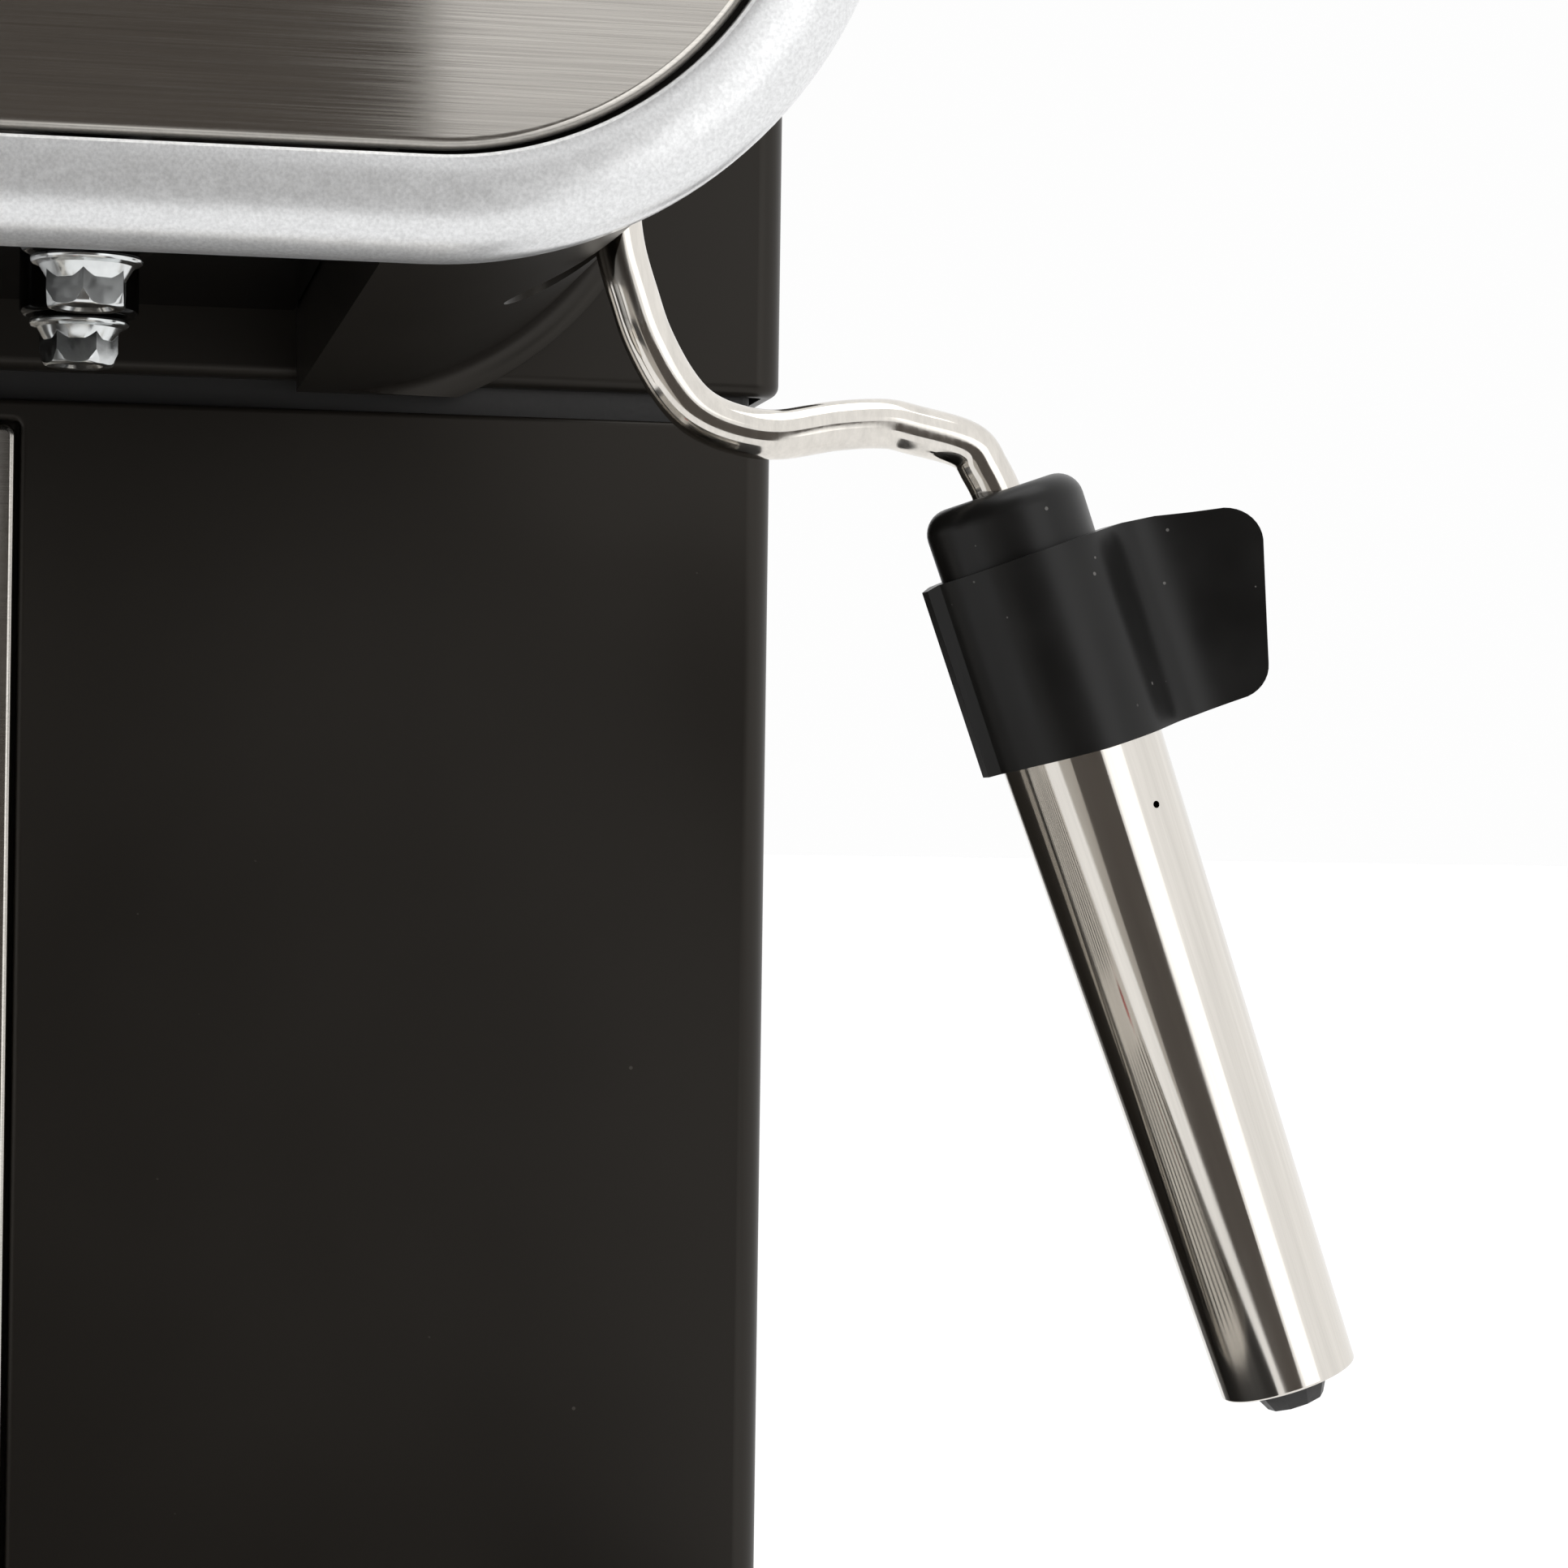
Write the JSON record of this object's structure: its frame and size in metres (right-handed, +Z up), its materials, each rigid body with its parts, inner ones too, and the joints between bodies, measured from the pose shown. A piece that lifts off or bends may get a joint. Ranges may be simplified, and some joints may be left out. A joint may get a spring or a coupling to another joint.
{
  "type": "espresso machine",
  "caption": "Pump espresso machine with a projecting rounded head, side steam wand with rubber grip, forward portafilter, slide-out drip tray and lift-off rear water tank.",
  "frame": {"origin": "middle of the underside of the whole machine's box, on the surface the feet stand on", "axes": "+Z up, -Y is the front where the portafilter's handle points, +X is the side of the steam wand"},
  "size_m": [0.3408, 0.372, 0.3447],
  "materials": {
    "silver_paint": "satin silver paint with a fine flake",
    "dark_shell": "satin near-black",
    "black_gloss": "gloss black",
    "black_plastic": "fine moulded texture",
    "clear_plastic": "clear",
    "lens_glass": "clear",
    "rubber": "soft matt",
    "silicone": "translucent white",
    "brushed_steel": "brushed along the length",
    "polished_steel": "polished",
    "zinc": "bright zinc plate",
    "aluminium": "cast and machined",
    "brass": "machined",
    "dial_paint": "cream enamel",
    "red_plastic": "red"
  },
  "bodies": {
    "machine": {"ball_socket": "brass", "base_housing": "black_plastic", "bezel": "silver_paint", "boiler_base": "aluminium", "boiler_dome": "aluminium", "bottom_plate": "aluminium", "chassis": "aluminium", "column_body": "dark_shell", "control_board": "black_plastic", "cup_warmer": "brushed_steel", "foot_front_left": "rubber", "foot_front_right": "rubber", "foot_rear_left": "rubber", "foot_rear_right": "rubber", "front_plate": "brushed_steel", "gauge_case": "polished_steel", "gauge_dial": "dial_paint", "gauge_lens": "lens_glass", "group_bolt_front_left": "zinc", "group_bolt_front_right": "zinc", "group_bolt_rear_left": "zinc", "group_bolt_rear_right": "zinc", "group_collar": "aluminium", "group_gasket": "rubber", "head_shell": "dark_shell", "heating_element": "zinc", "joint_trim": "black_plastic", "power_inlet": "black_plastic", "pressure_hose": "silicone", "pump": "black_plastic", "pump_bracket": "aluminium", "recess_plate": "black_gloss", "shower_screen": "polished_steel", "splash_strip": "brushed_steel", "steam_pipe": "brass", "steam_valve": "brass", "suction_hose": "silicone", "thermostat": "black_plastic", "upper_housing": "dark_shell"},
    "drip_tray": {"drip_tray": "black_plastic"},
    "drip_grate": {"drip_grate": "brushed_steel"},
    "drip_float": {"drip_float": "red_plastic"},
    "portafilter": {"portafilter_cup": "polished_steel", "filter_basket": "polished_steel", "portafilter_handle": "black_plastic", "portafilter_spout": "polished_steel"},
    "steam_knob": {"steam_knob": "black_plastic", "steam_stem": "brass"},
    "steam_ball": {"steam_ball": "polished_steel"},
    "wand": {"wand_tube": "polished_steel", "wand_grip": "rubber", "nozzle_tip": "black_plastic"},
    "froth_sleeve": {"froth_sleeve": "polished_steel"},
    "power_button": {"power_button": "polished_steel"},
    "coffee_button": {"coffee_button": "polished_steel"},
    "steam_button": {"steam_button": "polished_steel"},
    "gauge_needle": {"gauge_needle": "red_plastic"},
    "water_tank": {"water_tank": "clear_plastic", "tank_valve": "black_plastic"},
    "tank_lid": {"tank_lid": "black_plastic"}
  },
  "joints": [
    {"name": "drip_tray_slide", "type": "slide", "parent": "machine", "child": "drip_tray", "axis": [0, -1, 0], "range_m": [0, 0.13]},
    {"name": "drip_grate_lift", "type": "slide", "parent": "drip_tray", "child": "drip_grate", "axis": [0, 0, 1], "range_m": [0, 0.05]},
    {"name": "drip_float_rise", "type": "slide", "parent": "drip_tray", "child": "drip_float", "axis": [0, 0, 1], "range_m": [0, 0.007]},
    {"name": "portafilter_twist", "type": "hinge", "parent": "machine", "child": "portafilter", "pos_m": [-0.02942, -0.036, 0.19], "axis": [0, 0, 1], "range_deg": [-45, 0]},
    {"name": "steam_knob_turn", "type": "hinge", "parent": "machine", "child": "steam_knob", "pos_m": [0.02658, -0.016, 0.3247], "axis": [0, 0, 1], "range_deg": [0, 270]},
    {"name": "wand_tilt", "type": "hinge", "parent": "machine", "child": "steam_ball", "pos_m": [0.07458, -0.016, 0.268], "axis": [0, 1, 0], "range_deg": [0, 12]},
    {"name": "wand_swivel", "type": "hinge", "parent": "steam_ball", "child": "wand", "pos_m": [0.07458, -0.016, 0.268], "axis": [0, 0, 1], "range_deg": [-90, 30]},
    {"name": "froth_sleeve_pull", "type": "slide", "parent": "wand", "child": "froth_sleeve", "axis": [0.3363, 0, -0.9418], "range_m": [0, 0.03]},
    {"name": "power_button_press", "type": "slide", "parent": "machine", "child": "power_button", "axis": [0, 1, 0], "range_m": [0, 0.002], "stiffness_N_per_m": 400},
    {"name": "coffee_button_press", "type": "slide", "parent": "machine", "child": "coffee_button", "axis": [0, 1, 0], "range_m": [0, 0.002], "stiffness_N_per_m": 400},
    {"name": "steam_button_press", "type": "slide", "parent": "machine", "child": "steam_button", "axis": [0, 1, 0], "range_m": [0, 0.002], "stiffness_N_per_m": 400},
    {"name": "gauge_needle_turn", "type": "hinge", "parent": "machine", "child": "gauge_needle", "pos_m": [-0.02942, -0.0869, 0.281], "axis": [0, 1, 0], "range_deg": [0, 270]},
    {"name": "water_tank_lift", "type": "slide", "parent": "machine", "child": "water_tank", "axis": [0, 0, 1], "range_m": [0, 0.25]},
    {"name": "tank_lid_swing", "type": "hinge", "parent": "water_tank", "child": "tank_lid", "pos_m": [-0.02942, 0.1828, 0.2786], "axis": [-1, 0, 0], "range_deg": [0, 100]}
  ]
}
